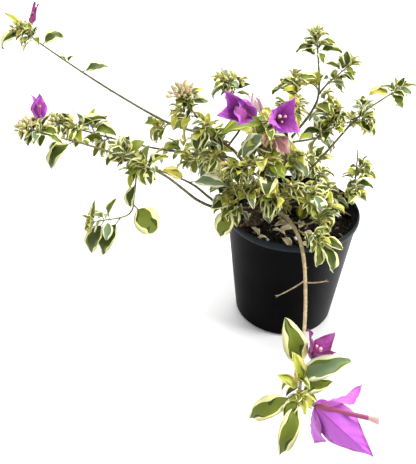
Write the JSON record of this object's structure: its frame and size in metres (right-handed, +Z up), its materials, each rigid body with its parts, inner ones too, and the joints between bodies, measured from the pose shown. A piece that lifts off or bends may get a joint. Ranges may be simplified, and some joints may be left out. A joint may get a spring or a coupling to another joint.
{
  "type": "potted bougainvillea shrub",
  "caption": "Low arching flowering shrub with long canes, cream-edged leaves and magenta papery bracts, growing in a round tapered nursery pot.",
  "frame": {"origin": "centre of the pot's flat underside", "axes": "+Z up through the pot, -Y towards the long cane that hangs over the front of the rim, -X towards the three long left-hand canes"},
  "size_m": [0.4708, 0.4925, 0.3878],
  "materials": {
    "pot": "satin",
    "potting_mix": "matte",
    "bark": "matte",
    "foliage": "satin"
  },
  "bodies": {
    "root": {"pot": "pot", "potting_mix": "potting_mix", "trunk": "bark", "back_bough": "bark", "back_left_bough": "bark", "back_right_bough": "bark", "bloom_centre_bough": "bark", "bloom_left_bough": "bark", "budding_bough": "bark", "front_bough": "bark", "high_left_bough": "bark", "low_left_bough": "bark", "pair_left_bough": "bark", "right_bough": "bark", "right_mid_bough": "bark", "rim_right_bough": "bark", "top_bough": "bark", "back_foliage": "foliage", "back_left_foliage": "foliage", "back_right_foliage": "foliage", "bloom_centre_foliage": "foliage", "bloom_left_foliage": "foliage", "budding_foliage": "foliage", "crown_left_foliage": "foliage", "crown_low_left_foliage": "foliage", "crown_top_foliage": "foliage", "drooping_left_foliage": "foliage", "front_foliage": "foliage", "front_right_foliage": "foliage", "front_up_foliage": "foliage", "high_left_foliage": "foliage", "inner_back_foliage": "foliage", "inner_centre_foliage": "foliage", "inner_front_foliage": "foliage", "inner_left_foliage": "foliage", "inner_mid_foliage": "foliage", "inner_right_foliage": "foliage", "left_rim_foliage": "foliage", "low_left_foliage": "foliage", "pair_left_foliage": "foliage", "right_foliage": "foliage", "right_mid_foliage": "foliage", "rim_right_foliage": "foliage", "top_foliage": "foliage", "top_left_foliage": "foliage", "top_right_foliage": "foliage", "tuft_left_foliage": "foliage"}
  },
  "joints": []
}
